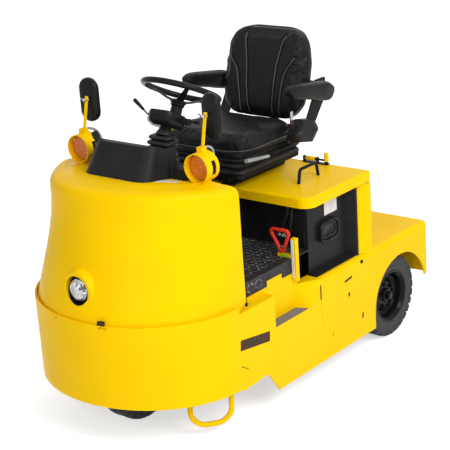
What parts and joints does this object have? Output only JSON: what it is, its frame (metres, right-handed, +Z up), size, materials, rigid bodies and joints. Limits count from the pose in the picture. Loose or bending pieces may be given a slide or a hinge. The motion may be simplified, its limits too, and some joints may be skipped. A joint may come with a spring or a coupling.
{
  "type": "electric tow tractor",
  "caption": "Seated three-wheel electric tow tractor with a wrap-round nose, open footwell, suspension seat on a lifting battery hood, rear deck and tow coupling.",
  "frame": {"origin": "on the ground, at the middle of the overall length and width", "axes": "+X to the vehicle's left, +Y to its rear, +Z up"},
  "size_m": [1.052, 2.12, 1.5749],
  "materials": {
    "body_yellow": "gloss industrial paint",
    "black_paint": "satin black paint",
    "black_plastic": "fine grain",
    "vinyl": "black vinyl, satin",
    "tread_plate": "black chequer plate",
    "tyre": "rubber",
    "rim_black": "gloss black",
    "cast_dark": "painted casting",
    "bright_steel": "zinc plated",
    "lamp_clear": "clear lens over reflector",
    "amber": "amber lens",
    "grip_red": "red grip",
    "bellows_rubber": "satin rubber"
  },
  "bodies": {
    "chassis": {"battery_block": "black_paint", "battery_front_panel": "black_paint", "battery_leads": "bellows_rubber", "battery_side_panel_left": "black_paint", "battery_side_panel_right": "black_paint", "brake_bracket": "body_yellow", "brake_grip": "grip_red", "charge_socket": "black_plastic", "column_boot": "bellows_rubber", "column_housing": "black_plastic", "dash_console": "black_plastic", "drive_axle": "cast_dark", "floor_plate": "tread_plate", "front_bumper": "body_yellow", "front_cowl": "body_yellow", "headlight_bezel": "black_plastic", "headlight_lens": "lamp_clear", "hood_hinges": "body_yellow", "indicator_lenses": "amber", "lamp_guards": "body_yellow", "mirrors": "black_plastic", "pedals": "black_plastic", "rear_bulkhead": "body_yellow", "rear_deck": "body_yellow", "side_frame_left": "body_yellow", "side_frame_right": "body_yellow", "tie_down_loops": "body_yellow", "tow_coupling": "cast_dark", "tow_pin": "bright_steel", "underframe": "black_paint"},
    "rear_wheel_left": {"rear_tyre_left": "tyre", "rear_rim_left": "rim_black"},
    "rear_wheel_right": {"rear_tyre_right": "tyre", "rear_rim_right": "rim_black"},
    "steer_unit": {"steer_fork": "cast_dark"},
    "front_wheel": {"front_tyre": "tyre", "front_rim": "rim_black"},
    "hand_wheel": {"steering_wheel": "black_plastic"},
    "hood": {"hood_cover": "body_yellow", "grab_handles": "black_paint", "hood_latch": "black_paint", "seat_base": "bellows_rubber", "seat_cushion": "vinyl", "seat_backrest": "vinyl", "seat_frame": "black_paint", "belt_retractor": "black_plastic", "weight_lever": "black_plastic"},
    "armrest_left_pad": {"armrest_left": "vinyl"},
    "armrest_right_pad": {"armrest_right": "vinyl"}
  },
  "joints": [
    {"name": "rear_left_spin", "type": "hinge", "parent": "chassis", "child": "rear_wheel_left", "pos_m": [0.453, 0.618, 0.2075], "axis": [1, 0, 0], "continuous": true},
    {"name": "rear_right_spin", "type": "hinge", "parent": "chassis", "child": "rear_wheel_right", "pos_m": [-0.453, 0.618, 0.2075], "axis": [1, 0, 0], "continuous": true},
    {"name": "steer", "type": "hinge", "parent": "chassis", "child": "steer_unit", "pos_m": [0, -0.7, 0.45], "axis": [0, 0, 1], "range_deg": [-80, 80]},
    {"name": "front_spin", "type": "hinge", "parent": "steer_unit", "child": "front_wheel", "pos_m": [0, -0.7, 0.2075], "axis": [1, 0, 0], "continuous": true},
    {"name": "hand_wheel_turn", "type": "hinge", "parent": "chassis", "child": "hand_wheel", "pos_m": [0, -0.266, 1.401], "axis": [0, 0.4695, 0.8829], "range_deg": [-480, 480]},
    {"name": "hood_lift", "type": "hinge", "parent": "chassis", "child": "hood", "pos_m": [0, 0.454, 0.88], "axis": [-1, 0, 0], "range_deg": [0, 75]},
    {"name": "armrest_left_fold", "type": "hinge", "parent": "hood", "child": "armrest_left_pad", "pos_m": [0.3, 0.412, 1.284], "axis": [-1, 0, 0], "range_deg": [0, 85]},
    {"name": "armrest_right_fold", "type": "hinge", "parent": "hood", "child": "armrest_right_pad", "pos_m": [-0.3, 0.412, 1.284], "axis": [-1, 0, 0], "range_deg": [0, 85]}
  ],
  "couplings": [
    {"joint": "hand_wheel_turn", "follows": "steer", "ratio": 6}
  ]
}
